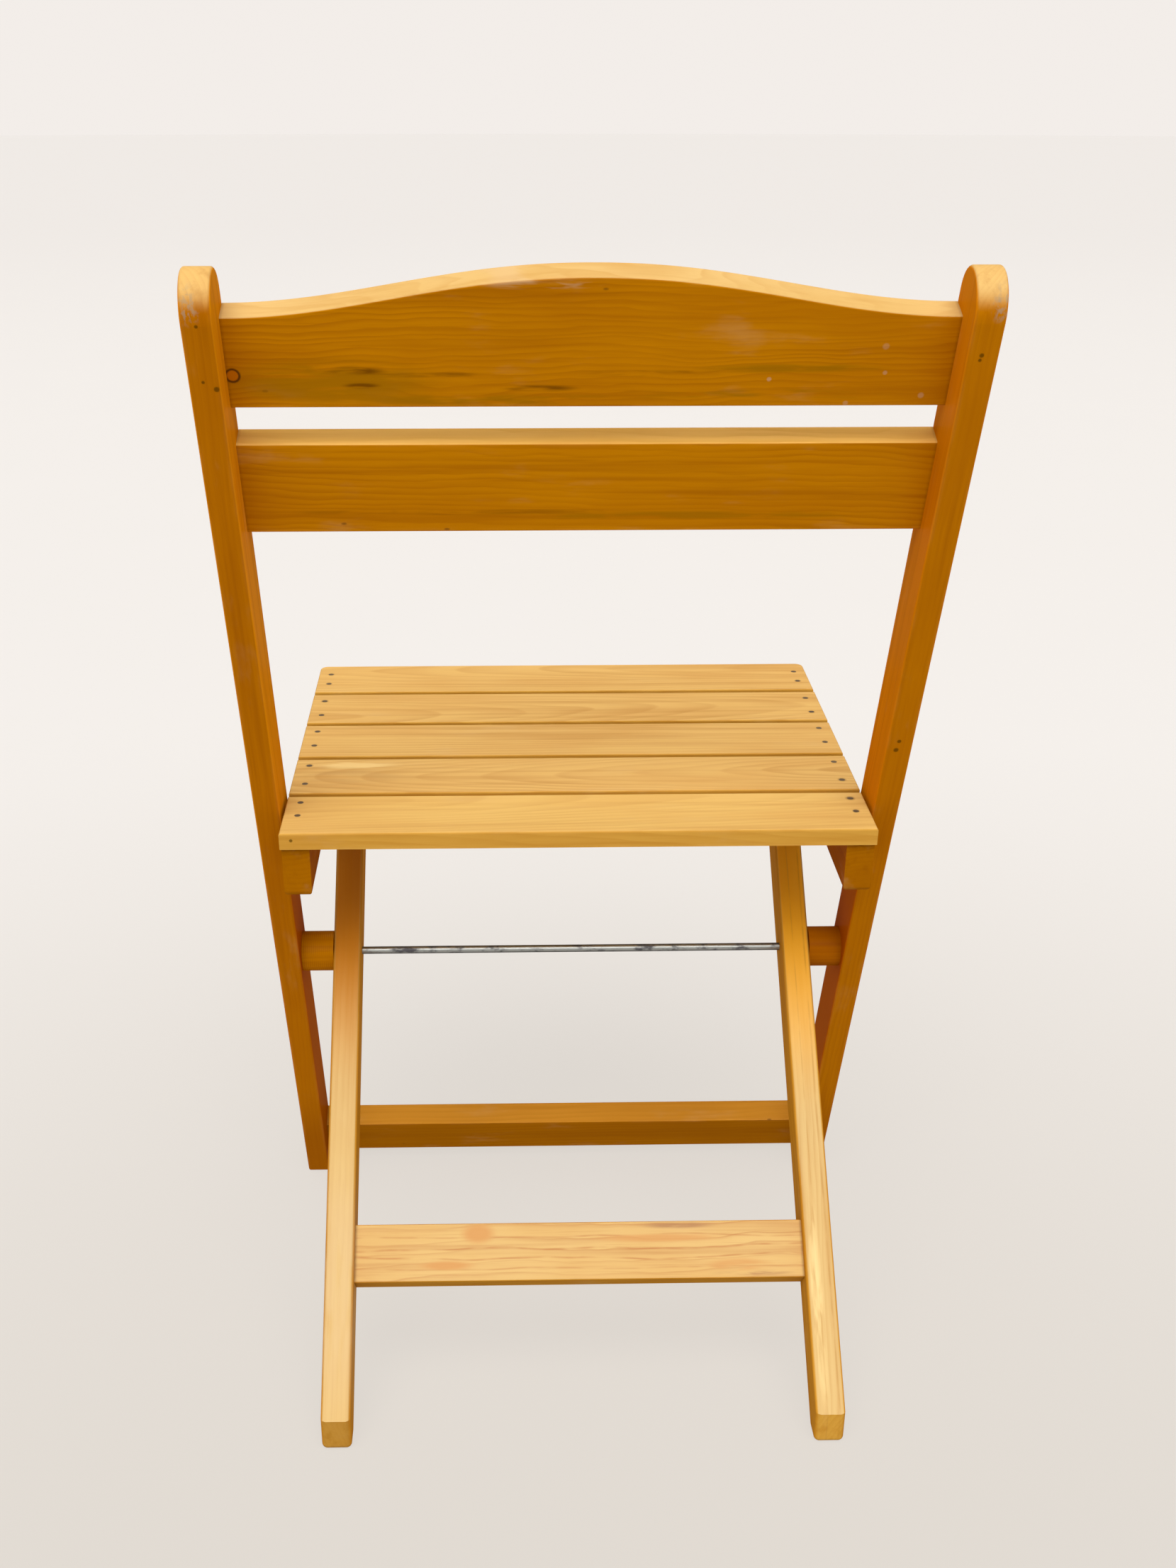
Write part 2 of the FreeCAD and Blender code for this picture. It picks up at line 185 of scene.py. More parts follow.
def pine(node, axes, tint, seed, heart=(0.02, 0.12), drift=(0.01, 0.02), ring=0.0036, warp=0.003,
         contrast=0.6, patches=0.5, streaks=0.5, wear=0.12, crown=None, flank=None, thin=False, upper_shade=None,
         dusk=None, joint=0.0, sheen=0.03, grain=(), paint=()):
    """Growth rings about a heart line beside the board, bent by noise, under a satin varnish.

    heart: where the tree's centre lies from the board's middle, out of its face and across it.
    drift: how fast that centre wanders from the grain direction, which draws the long arches.
    crown: a direction, the palette of the faces that look that way, and how squarely they must; that palette
    is lighter partly from bleaching of the wood and partly as painted light.
    flank: the palette of the faces that look across the chair, which paints light and shade on them: painted
    light on the uprights' sides, painted shade on the legs' sides, darker than their backs.
    thin: narrow, crisp growth lines instead of soft ones.
    upper_shade: two places along the grain, a colour and its strength, for a crown that deepens between them:
    painted shade under the seat.
    dusk: two places along the grain, a colour and its strength, for a flank that darkens below the upper one:
    painted shade under the seat.
    joint: darkness of the thin line where the board's ends meet other timber.
    grain, paint: details that bend the rings or are laid over the colour.
    """
    t = Tree("pine_" + node)
    middle, half = extents(node, axes)
    point = t.vector("SUBTRACT", t.object_point(), tuple(middle))
    u, v, w = (t.vector("DOT_PRODUCT", point, tuple(axis)) for axis in axes)
    shift = seed * 3.17
    # slow bends of the grain, long along the board and short across it
    slow = t.stretched(u, v, w, 5.0, 16.0, 16.0, shift)
    bend_v = t.math("MULTIPLY", t.math("SUBTRACT", t.noise(slow, 1.0, 2.0), 0.5), warp * 3.0)
    slow_w = t.vector("ADD", slow, (7.3, 2.1, 4.9))
    bend_w = t.math("MULTIPLY", t.math("SUBTRACT", t.noise(slow_w, 1.6, 3.0), 0.5), warp * 3.0)
    ring_v = t.math("ADD", t.math("MULTIPLY_ADD", u, drift[0], t.math("SUBTRACT", v, heart[0])), bend_v)
    ring_w = t.math("ADD", t.math("MULTIPLY_ADD", u, drift[1], t.math("SUBTRACT", w, heart[1])), bend_w)
    state = dict(t=t, u=u, v=v, w=w, half=half, ring_v=ring_v, ring_w=ring_w)
    for detail in grain:
        detail(state)
    radius = t.vector("LENGTH", t.join(state["ring_v"], state["ring_w"], 0.0))
    uneven = t.noise(t.join(t.math("MULTIPLY_ADD", radius, 90.0, shift), 0.0, 0.0), 1.0, 1.0)
    turns = t.math("ADD", t.math("DIVIDE", radius, ring), t.math("MULTIPLY", uneven, 1.6))
    year = t.math("FRACT", turns)
    soft = [(0.0, 0.0), (0.35, 0.12), (0.74, 0.75), (0.86, 1.0), (0.93, 0.85), (1.0, 0.0)]
    crisp = [(0.0, 0.0), (0.55, 0.10), (0.80, 0.35), (0.92, 1.0), (0.96, 0.90), (1.0, 0.0)]
    late = t.ramp(year, crisp if thin else soft)
    # fibres: short dashes a fraction of a millimetre wide
    fibre = t.noise(t.stretched(u, v, w, 22.0, 900.0, 900.0, shift), 1.0, 2.0, 0.6)
    streak = t.noise(t.stretched(u, v, w, 3.5, 130.0, 130.0, shift), 1.0, 3.0, 0.55)
    cloud_at = t.stretched(u, v, w, 9.0, 30.0, 30.0, shift)
    cloud = t.noise(cloud_at, 1.0, 3.0, 0.5)
    fade = t.span(t.noise(t.vector("ADD", slow, (1.7, 9.2, 3.3)), 1.3, 1.0), 0.3, 0.75, 0.35, 1.0)
    amount = t.math("MULTIPLY", t.math("MULTIPLY", late, contrast), fade)
    pale, dark, deep = tint["early"], tint["late"], tint["deep"]
    # side faces take the flank palette: painted light on the uprights, painted shade on the legs
    if flank:
        aside = t.math("ABSOLUTE", t.vector("DOT_PRODUCT", t.object_normal(), tuple(ACROSS)))
        aside = t.span(aside, 0.35, 0.95)
        pale = t.mix(aside, pale, flank["early"])
        dark = t.mix(aside, dark, flank["late"])
        deep = t.mix(aside, deep, flank["deep"])
    # faces that look along the crown direction take the crown's lighter palette, partly as painted light
    if crown:
        facing = t.span(t.vector("DOT_PRODUCT", t.object_normal(), tuple(crown[0])), crown[2], crown[3])
        pale = t.mix(facing, pale, crown[1]["early"])
        dark = t.mix(facing, dark, crown[1]["late"])
        deep = t.mix(facing, deep, crown[1]["deep"])
    colour = t.mix(amount, pale, dark)
    colour = t.mix(t.math("MULTIPLY", t.span(cloud, 0.35, 0.75), patches), colour, deep)
    colour = t.mix(t.span(streak, 0.46, 0.74, 0.0, streaks), colour, dark)
    colour = t.mix(t.span(fibre, 0.52, 0.80, 0.0, 0.25), colour, dark)
    # a faint bloom in the varnish, partly a painted sheen
    bloom_and_sheen = t.noise(t.vector("ADD", cloud_at, (3.1, 6.7, 1.9)), 1.7, 4.0, 0.6)
    colour = t.mix(t.span(bloom_and_sheen, 0.55, 0.80, 0.0, 0.14), colour, BLOOM_AND_SHEEN)
    # small pitch specks
    apart, which = t.cells(t.stretched(u, v, w, 30.0, 60.0, 60.0, shift))
    few = t.math("GREATER_THAN", t.vector("DOT_PRODUCT", which, (1.0, 0.0, 0.0)), 0.93)
    speck = t.math("MULTIPLY", t.span(apart, 0.03, 0.075, 1.0, 0.0), few)
    colour = t.mix(t.math("MULTIPLY", speck, 0.6), colour, PITCH)
    state.update(colour=colour, cloud=cloud)
    # the crown deepens toward the upper end, under the seat: painted shade
    if upper_shade:
        share = t.math("MULTIPLY", t.span(u, upper_shade[0], upper_shade[1]), upper_shade[3])
        state["colour"] = t.mix(t.math("MULTIPLY", share, facing), state["colour"], upper_shade[2])
    # side faces darken below the seat: painted shade
    if dusk:
        share = t.math("MULTIPLY", t.span(u, dusk[0], dusk[1], 1.0, 0.0), dusk[3])
        state["colour"] = t.mix(t.math("MULTIPLY", share, aside), state["colour"], dusk[2])
    if joint:
        end = t.span(t.math("SUBTRACT", half[0], t.math("ABSOLUTE", u)), 0.0002, 0.0022, joint, 0.0)
        state["colour"] = t.mix(end, state["colour"], JOINT_LINE)
    for detail in paint:
        detail(state)
    colour = state["colour"]
    # rubbed edges: paler where two faces meet, broken up by noise
    gap_v = t.math("SUBTRACT", half[1], t.math("ABSOLUTE", v))
    gap_w = t.math("SUBTRACT", half[2], t.math("ABSOLUTE", w))
    edge = t.span(t.math("MAXIMUM", gap_v, gap_w), 0.0006, 0.0034, 1.0, 0.0)
    rub = t.span(t.noise(t.stretched(u, v, w, 26.0, 90.0, 90.0, shift), 1.0, 3.0, 0.6), 0.42, 0.62)
    worn = t.math("MULTIPLY", t.math("MULTIPLY", edge, rub), wear)
    colour = t.mix(worn, colour, tuple(min(1.0, c * 1.25 + 0.05) for c in tint["early"]))
    t.feed(t.shader.inputs["Base Color"], colour)
    rough = t.math("ADD", t.math("MULTIPLY", cloud, 0.16), t.math("MULTIPLY", fibre, 0.10))
    rough = t.math("ADD", t.math("MULTIPLY_ADD", worn, 0.15, rough), 0.27)
    t.feed(t.shader.inputs["Roughness"], rough)
    t.shader.inputs["IOR"].default_value = 1.48
    t.shader.inputs["Specular IOR Level"].default_value = 0.0
    t.shader.inputs["Coat Weight"].default_value = sheen
    t.shader.inputs["Coat Roughness"].default_value = 0.30
    height = t.math("ADD", t.math("MULTIPLY", fibre, 0.6), t.math("MULTIPLY", late, 0.4))
    t.bump(height, 0.22, 0.00025)
    t.dress([node])


def knot(u_at, w_at, size, core=(0.30, 0.10, 0.008), ring=(0.07, 0.022, 0.002)):
    """Two details: rings that part round a small knot, and the knot's own dark rim and core."""
    def parts(state):
        t = state["t"]
        along = t.math("SUBTRACT", state["u"], u_at)
        across = t.math("SUBTRACT", state["w"], w_at)
        return t, along, across

    def bend(state):
        t, along, across = parts(state)
        oval = t.join(t.math("MULTIPLY", along, 0.28), t.math("MULTIPLY", across, 0.8), 0.0)
        near = t.vector("LENGTH", oval)
        pull = t.span(near, 0.0, size * 2.6, 0.85, 0.0)
        state["ring_w"] = t.math("SUBTRACT", state["ring_w"], t.math("MULTIPLY", across, pull))

    def draw(state):
        t, along, across = parts(state)
        wobble = t.math("MULTIPLY", t.math("SUBTRACT", state["cloud"], 0.5), size * 0.5)
        away = t.math("ADD", t.vector("LENGTH", t.join(along, across, 0.0)), wobble)
        inside = t.span(away, size * 0.80, size * 0.95, 1.0, 0.0)
        rim = t.math("MULTIPLY", t.span(away, size * 0.70, size * 0.92),
                     t.span(away, size * 0.98, size * 1.25, 1.0, 0.0))
        state["colour"] = t.mix(t.math("MULTIPLY", inside, 0.7), state["colour"], core)
        state["colour"] = t.mix(t.math("MULTIPLY", rim, 0.9), state["colour"], ring)
    return bend, draw


def soft_patch(u_at, w_at, long, wide, colour, amount, seed, broken=(0.50, 0.68)):
    """A soft patch of colour drawn out along the grain and broken up by it: stains in most places, a painted
    highlight on the crest's upper edge.
    """
    def draw(state):
        t = state["t"]
        along = t.math("DIVIDE", t.math("SUBTRACT", state["u"], u_at), long)
        across = t.math("DIVIDE", t.math("SUBTRACT", state["w"], w_at), wide)
        zone = t.span(t.vector("LENGTH", t.join(along, across, 0.0)), 0.35, 1.0, 1.0, 0.0)
        at = t.stretched(state["u"], state["v"], state["w"], 22.0, 40.0, 170.0, seed)
        torn = t.span(t.noise(at, 1.0, 3.0, 0.55, 0.3), broken[0], broken[1])
        cover = t.math("MULTIPLY", t.math("MULTIPLY", zone, torn), amount)
        state["colour"] = t.mix(cover, state["colour"], colour)
    return draw


def dot(from_top, v_at, w_at, size, colour=(0.07, 0.03, 0.0), amount=0.75):
    """One small mark, placed from the timber's upper or left end."""
    def draw(state):
        t = state["t"]
        along = t.math("SUBTRACT", state["u"], state["half"][0] - from_top)
        away = t.vector("LENGTH", t.join(along, t.math("SUBTRACT", state["v"], v_at),
                                         t.math("SUBTRACT", state["w"], w_at)))
        state["colour"] = t.mix(t.span(away, size * 0.5, size, amount, 0.0), state["colour"], colour)
    return draw


def vein(w_at, wide, sway, colour, amount, seed):
    """A dark line of grain that runs the whole length."""
    def draw(state):
        t = state["t"]
        wander = t.noise(t.join(t.math("MULTIPLY_ADD", state["u"], 9.0, seed), 0.0, 0.0), 1.0, 2.0)
        at = t.math("MULTIPLY_ADD", t.math("SUBTRACT", wander, 0.5), sway, w_at)
        away = t.math("ABSOLUTE", t.math("SUBTRACT", state["w"], at))
        breaks = t.span(t.noise(t.join(t.math("MULTIPLY_ADD", state["u"], 30.0, seed), 0.0, 0.0)), 0.35, 0.60)
        line = t.math("MULTIPLY", t.span(away, 0.0, wide, amount, 0.0), breaks)
        state["colour"] = t.mix(line, state["colour"], colour)
    return draw


def scuff(from_top, w_at, long, wide, colour, amount, seed):
    """Varnish rubbed dull and pale, broken up across the grain."""
    def draw(state):
        t = state["t"]
        along = t.math("DIVIDE", t.math("SUBTRACT", state["u"], state["half"][0] - from_top), long)
        across = t.math("DIVIDE", t.math("SUBTRACT", state["w"], w_at), wide)
        zone = t.span(t.vector("LENGTH", t.join(along, across, 0.0)), 0.3, 1.0, 1.0, 0.0)
        at = t.stretched(state["u"], state["v"], state["w"], 240.0, 240.0, 420.0, seed)
        torn = t.span(t.noise(at, 1.0, 4.0, 0.65), 0.45, 0.60)
        cover = t.math("MULTIPLY", t.math("MULTIPLY", zone, torn), amount)
        state["colour"] = t.mix(cover, state["colour"], colour)
    return draw


def bands(spacing, amount, colour):
    """Fine tool marks round a turned piece."""
    def draw(state):
        t = state["t"]
        wave = t.math("SINE", t.math("MULTIPLY_ADD", state["u"], 2 * math.pi / spacing,
                                     t.math("MULTIPLY", state["cloud"], 7.0)))
        state["colour"] = t.mix(t.math("MULTIPLY", t.span(wave, 0.0, 1.0), amount), state["colour"], colour)
    return draw


def nail_stains(spots, size, colour):
    """Dark halos where nail heads have bled into the varnish."""
    def draw(state):
        t = state["t"]
        nearest = None
        for spot in spots:
            away = t.vector("LENGTH", t.join(t.math("SUBTRACT", state["u"], spot[0]),
                                             t.math("SUBTRACT", state["w"], spot[1]), 0.0))
            nearest = away if nearest is None else t.math("MINIMUM", nearest, away)
        ragged = t.math("MULTIPLY", t.math("SUBTRACT", state["cloud"], 0.5), size * 1.4)
        nearest = t.math("ADD", nearest, ragged)
        halo = t.span(nearest, size * 0.35, size, 0.75, 0.0)
        state["colour"] = t.mix(halo, state["colour"], colour)
    return draw


def islands(node):
    """Middles of the separate solids in one CAD node."""
    mesh = nodes[node].data
    parent = list(range(len(mesh.vertices)))

    def root(k):
        while parent[k] != k:
            parent[k] = parent[parent[k]]
            k = parent[k]
        return k
    places = {}
    for vertex in mesh.vertices:
        key = tuple(round(c, 5) for c in vertex.co)
        if key in places:
            parent[root(vertex.index)] = root(places[key])
        else:
            places[key] = vertex.index
    for edge in mesh.edges:
        a, b = edge.vertices
        parent[root(a)] = root(b)
    groups = {}
    for vertex in mesh.vertices:
        groups.setdefault(root(vertex.index), []).append(vertex.co)
    return [sum(points, Vector()) / len(points) for points in groups.values()]


NAIL_PLACES = islands("slat_nails")


def slat_stains(node):
    middle, half = extents(node, SLAT)
    spots = []
    for place in NAIL_PLACES:
        u, w = (place - middle).dot(SLAT[0]), (place - middle).dot(SLAT[2])
        if abs(w) < half[2]:
            spots.append((u, w))
    return nail_stains(spots, 0.0036, (0.27, 0.150, 0.050))


OLIVE = (0.30, 0.125, 0.0)
SOOT = (0.13, 0.040, 0.0)
GREY = (0.30, 0.24, 0.16)
BLOOM = (0.56, 0.44, 0.32)
REDDISH = (0.50, 0.255, 0.090)
# colour that the uprights turn to, darker towards their feet
FOOT_DARKENING = (0.235, 0.058, 0.0)
# LEFT_FLANK and RIGHT_FLANK colour the uprights' side faces lighter: painted light
LEFT_FLANK = dict(early=(0.72, 0.265, 0.004), late=(0.52, 0.165, 0.0), deep=(0.62, 0.205, 0.0))
RIGHT_FLANK = dict(early=(0.64, 0.205, 0.002), late=(0.46, 0.130, 0.0), deep=(0.55, 0.165, 0.0))
# LOWER_RAIL_TOP, STRETCHER_TOP, STRETCHER_BACK and REAR_SLAT_TOP colour faces that look toward the light:
# lighter partly as painted light
LOWER_RAIL_TOP = dict(early=(0.78, 0.470, 0.120), late=(0.60, 0.310, 0.050), deep=(0.70, 0.390, 0.080))
STRETCHER_TOP = dict(early=(0.58, 0.255, 0.026), late=(0.43, 0.160, 0.010), deep=(0.51, 0.210, 0.018))
STRETCHER_BACK = dict(early=(0.560, 0.375, 0.150), late=(0.34, 0.130, 0.045), deep=(0.51, 0.300, 0.100))
LEFT_LEG_UNDER = dict(early=(0.42, 0.216, 0.034), late=(0.30, 0.125, 0.010), deep=(0.36, 0.160, 0.018))
REAR_SLAT_TOP = dict(early=(0.665, 0.420, 0.130), late=(0.49, 0.260, 0.065), deep=(0.60, 0.340, 0.095))
# where a flank is painted darker as shade under the seat, from the first place along the grain up to the
# second
UNDER_SEAT = (-0.060, 0.010, (0.39, 0.080, 0.0), 0.9)
RED_LINE = (0.39, 0.165, 0.060)
DUN = (0.33, 0.17, 0.08)
BACK_HALF, POST_HALF = 0.00925, 0.022     # out of the widest face, to the surface
# crowns for tops, seat tops and leg backs: their lighter palettes are partly painted light
ON_TOP = (POST_UP, BLEACHED_AND_LIT, 0.35, 0.80)
SEAT_TOP = (SEAT_UP, GOLDEN, 0.60, 0.95)
LEG_BACK = (LEG_REAR, PALE, 0.75, 0.96)
crest_knot = knot(0.2125, -0.0195, 0.0046, core=(0.46, 0.115, 0.0))
flecks = [dot(from_top, BACK_HALF, across, size, BLOOM, amount) for from_top, across, size, amount in (
    (0.323, -0.023, 0.0018, 0.30), (0.392, -0.019, 0.0018, 0.22), (0.416, -0.034, 0.0024, 0.22),
    (0.390, -0.002, 0.0026, 0.16), (0.371, -0.039, 0.0020, 0.20))]
BARS = [
    ("crest_rail", BACK_BOARD, AMBER, 1, dict(
        heart=(0.03, -0.22), drift=(0.0, 0.012), ring=0.0042, warp=0.008, contrast=0.65, joint=0.25,
        crown=ON_TOP, grain=[crest_knot[0]],
        paint=[soft_patch(0.155, -0.0245, 0.080, 0.020, OLIVE, 0.75, 2.0, (0.28, 0.52)),
               soft_patch(0.141, -0.0170, 0.024, 0.0034, SOOT, 0.85, 4.0, (0.40, 0.58)),
               soft_patch(0.095, -0.0195, 0.045, 0.0022, SOOT, 0.60, 5.0, (0.38, 0.58)),
               soft_patch(0.1365, -0.0265, 0.014, 0.0024, SOOT, 0.80, 6.0, (0.36, 0.55)),
               soft_patch(0.175, -0.0275, 0.040, 0.0018, SOOT, 0.45, 7.0, (0.40, 0.60)),
               soft_patch(0.030, -0.0285, 0.028, 0.0028, SOOT, 0.75, 8.0, (0.38, 0.58)),
               soft_patch(0.060, -0.0360, 0.110, 0.0050, OLIVE, 0.8, 11.0, (0.36, 0.58)),
               soft_patch(-0.040, -0.0190, 0.060, 0.0030, SOOT, 0.45, 9.0, (0.40, 0.60)),
               soft_patch(-0.120, -0.0160, 0.070, 0.0040, OLIVE, 0.8, 12.0, (0.36, 0.58)),
               soft_patch(-0.100, -0.0330, 0.100, 0.0050, OLIVE, 0.8, 13.0, (0.40, 0.60)),
               # a pale streak along the crest's upper edge near the middle: painted highlight
               soft_patch(0.030, 0.0370, 0.040, 0.0040, (0.60, 0.42, 0.24), 0.6, 14.0, (0.46, 0.60)),
               crest_knot[1]] + flecks)),
    ("lower_back_rail", BACK_BOARD, AMBER, 2, dict(
        heart=(-0.06, 0.14), drift=(0.03, -0.015), ring=0.0046, joint=0.2, contrast=0.5, warp=0.007,
        crown=(POST_UP, LOWER_RAIL_TOP, 0.35, 0.80),
        paint=[soft_patch(0.080, -0.0170, 0.150, 0.0030, SOOT, 0.35, 3.0, (0.40, 0.60)),
               soft_patch(-0.060, -0.0200, 0.160, 0.0040, OLIVE, 0.6, 5.0, (0.36, 0.58))])),
    ("front_stretcher", BACK_BOARD, SMOKED, 3, dict(
        heart=(-0.05, 0.08), joint=0.2, contrast=0.45,
        crown=(POST_UP, STRETCHER_TOP, 0.35, 0.80))),
    ("left_upright", POST, between(AMBER, RUSSET, 0.5), 4, dict(
        heart=(0.05, 0.09), contrast=0.2, flank=LEFT_FLANK, dusk=UNDER_SEAT,
        crown=(POST_UP, between(GOLDEN, BLEACHED_AND_LIT, 0.2), 0.30, 0.85),
        paint=[dot(0.022, POST_HALF, 0.0, 0.0014), dot(0.0565, POST_HALF, 0.0005, 0.0013),
               dot(0.061, POST_HALF, -0.0068, 0.0022), scuff(0.012, 0.004, 0.012, 0.009, GREY, 0.55, 3.0),
               soft_patch(-0.420, 0.0, 0.140, 0.080, FOOT_DARKENING, 0.55, 1.0, (0.05, 0.30))])),
    ("right_upright", POST, between(AMBER, RUSSET, 0.4), 5, dict(
        heart=(-0.04, 0.07), ring=0.0026, contrast=0.3, flank=RIGHT_FLANK, dusk=UNDER_SEAT,
        crown=(POST_UP, between(GOLDEN, BLEACHED_AND_LIT, 0.4), 0.30, 0.85),
        paint=[dot(0.041, POST_HALF, 0.001, 0.0018), dot(0.044, POST_HALF, 0.0015, 0.0014),
               dot(0.335, POST_HALF, 0.0010, 0.0020), dot(0.343, POST_HALF, 0.0020, 0.0024),
               scuff(0.012, -0.006, 0.012, 0.008, GREY, 0.6, 5.0),
               soft_patch(-0.420, 0.0, 0.140, 0.080, FOOT_DARKENING, 0.50, 2.0, (0.05, 0.30))])),
    ("left_leg", LEG, LEFT_LEG_UNDER, 6, dict(
        heart=(-0.03, 0.06), contrast=0.30, flank=between(AMBER, EDGE, 0.35),
        upper_shade=(-0.05, 0.10, (0.50, 0.165, 0.0), 0.9), crown=LEG_BACK,
        paint=[soft_patch(-0.185, 0.0, 0.110, 0.030, (0.57, 0.42, 0.24), 0.35, 6.0, (0.25, 0.55))])),
    ("right_leg", LEG, between(SHELTERED_AND_SHADED, EDGE, 0.9), 7, dict(
        heart=(-0.03, -0.06), ring=0.0034, contrast=0.40, flank=between(AMBER, EDGE, 0.35),
        upper_shade=(-0.07, 0.12, (0.84, 0.375, 0.008), 0.92), crown=LEG_BACK,
        paint=[vein(0.0022, 0.0008, 0.0015, (0.36, 0.17, 0.03), 0.35, 4.0),
               vein(-0.0065, 0.0011, 0.0010, (0.30, 0.12, 0.01), 0.35, 9.0),
               soft_patch(-0.200, 0.004, 0.10, 0.006, (0.80, 0.62, 0.30), 0.5, 2.0, (0.40, 0.60))])),
    ("rear_stretcher", REAR_BOARD, SHELTERED_AND_SHADED, 8, dict(
        heart=(-0.010, -0.070), drift=(0.004, 0.010), ring=0.0082, warp=0.0075, contrast=0.65,
        streaks=0.4, thin=True, joint=0.3, crown=(LEG_REAR, STRETCHER_BACK, 0.75, 0.96),
        paint=[vein(0.0020, 0.0013, 0.012, RED_LINE, 0.75, 3.0),
               vein(-0.0050, 0.0012, 0.014, RED_LINE, 0.70, 7.0),
               vein(0.0110, 0.0011, 0.010, RED_LINE, 0.60, 12.0),
               vein(-0.0130, 0.0010, 0.008, RED_LINE, 0.50, 17.0),
               soft_patch(0.076, 0.0140, 0.016, 0.0100, REDDISH, 0.95, 2.0, (0.12, 0.34)),
               soft_patch(0.100, -0.0100, 0.026, 0.0046, REDDISH, 0.95, 4.0, (0.18, 0.40)),
               soft_patch(-0.060, 0.0090, 0.060, 0.0040, REDDISH, 0.80, 6.0, (0.30, 0.50)),
               soft_patch(-0.120, -0.0120, 0.030, 0.0060, REDDISH, 0.80, 8.0, (0.25, 0.50)),
               soft_patch(-0.075, 0.0185, 0.034, 0.0030, DUN, 0.8, 9.0, (0.36, 0.54)),
               soft_patch(-0.130, -0.0185, 0.040, 0.0026, DUN, 0.7, 3.0, (0.36, 0.54))])),
    ("left_seat_rail", SEAT_RAIL, SMOKED, 9, dict(flank=RUSSET)),
    ("right_seat_rail", SEAT_RAIL, SMOKED, 10, dict(flank=RUSSET, patches=0.95, contrast=0.9)),
    ("left_spacer", TURNED, between(AMBER, RUSSET, 0.15), 11, dict(
        paint=[bands(0.0016, 0.5, AMBER["late"])])),
    ("right_spacer", TURNED, between(AMBER, RUSSET, 0.8), 12, dict(
        paint=[bands(0.0030, 0.12, AMBER["late"])])),
    ("seat_slat_1", SLAT, EDGE, 13, dict(
        heart=(-0.03, 0.02), drift=(0.05, 0.01), contrast=0.45, crown=SEAT_TOP,
        paint=[slat_stains("seat_slat_1")])),
    ("seat_slat_2", SLAT, EDGE, 14, dict(
        heart=(-0.04, -0.01), drift=(-0.06, 0.03), contrast=0.55, crown=SEAT_TOP,
        paint=[slat_stains("seat_slat_2")])),
    ("seat_slat_3", SLAT, EDGE, 15, dict(
        heart=(-0.05, 0.05), drift=(0.04, 0.03), contrast=0.45, crown=SEAT_TOP,
        paint=[slat_stains("seat_slat_3")])),
    ("seat_slat_4", SLAT, EDGE, 16, dict(
        heart=(-0.03, 0.0), drift=(0.07, 0.02), contrast=0.60, crown=SEAT_TOP,
        paint=[soft_patch(0.168, 0.021, 0.040, 0.011, (0.72, 0.50, 0.20), 0.80, 3.0, (0.38, 0.54)),
               soft_patch(0.170, 0.000, 0.060, 0.030, (0.42, 0.25, 0.09), 0.30, 5.0, (0.40, 0.62)),
               slat_stains("seat_slat_4")])),
    ("seat_slat_5", SLAT, between(EDGE, GOLDEN, 0.05), 17, dict(
        heart=(-0.04, 0.03), drift=(-0.05, 0.02), contrast=0.40,
        crown=(SEAT_UP, REAR_SLAT_TOP, 0.60, 0.95),
        paint=[slat_stains("seat_slat_5"), dot(0.0085, 0.0008, -0.0335, 0.0016)])),
]
for name, axes, tint, seed, look in BARS:
    pine(name, axes, tint, seed, **look)


# ---- metal, dowels and nylon ---------------------------------------------------------------------
def metal(names, colour, dull, rough, seed, shine=1.0, dark_reflection=0.0):
    """Bare steel with dull blotches; dark_reflection paints a dark reflection on the sides that look straight
    up and down.
    """
    t = Tree("metal_" + names[0])
    at = t.object_point()
    drawn_out = t.vector("MULTIPLY", at, (70.0, 160.0, 160.0))
    blotch = t.noise(t.vector("ADD", drawn_out, (seed, 0.0, 0.0)), 1.0, 4.0, 0.65)
    lines = t.noise(t.vector("MULTIPLY", at, (900.0, 40.0, 40.0)), 1.0, 2.0, 0.6)
    spot = t.span(blotch, 0.48, 0.66)
    tone = t.mix(spot, colour, dull)
    # sides that look straight up and down get a painted dark reflection
    upright = t.math("ABSOLUTE", t.vector("DOT_PRODUCT", t.object_normal(), (0.0, -0.45, 0.89)))
    tone = t.mix(t.span(upright, 0.45, 0.98, 0.0, dark_reflection), tone, tuple(0.12 * c for c in colour))
    t.feed(t.shader.inputs["Base Color"], tone)
    drawn = t.math("MULTIPLY_ADD", lines, 0.12, rough)
    t.feed(t.shader.inputs["Roughness"], t.math("MULTIPLY_ADD", spot, 0.25, drawn))
    t.shader.inputs["Metallic"].default_value = shine
    t.bump(t.math("ADD", lines, t.math("MULTIPLY", spot, -1.0)), 0.12, 0.0001)
    t.dress(names)


def plain_grain(names, early, late, rough, seed):
    t = Tree("plain_" + names[0])
    at = t.vector("ADD", t.object_point(), (seed, 0.0, 0.0))
    grain = t.noise(t.vector("MULTIPLY", at, (60.0, 500.0, 500.0)), 1.0, 3.0, 0.6)
    t.feed(t.shader.inputs["Base Color"], t.mix(t.span(grain, 0.4, 0.65), early, late))
    t.feed(t.shader.inputs["Roughness"], t.math("MULTIPLY_ADD", grain, 0.2, rough))
    t.bump(grain, 0.2, 0.0002)
    t.dress(names)


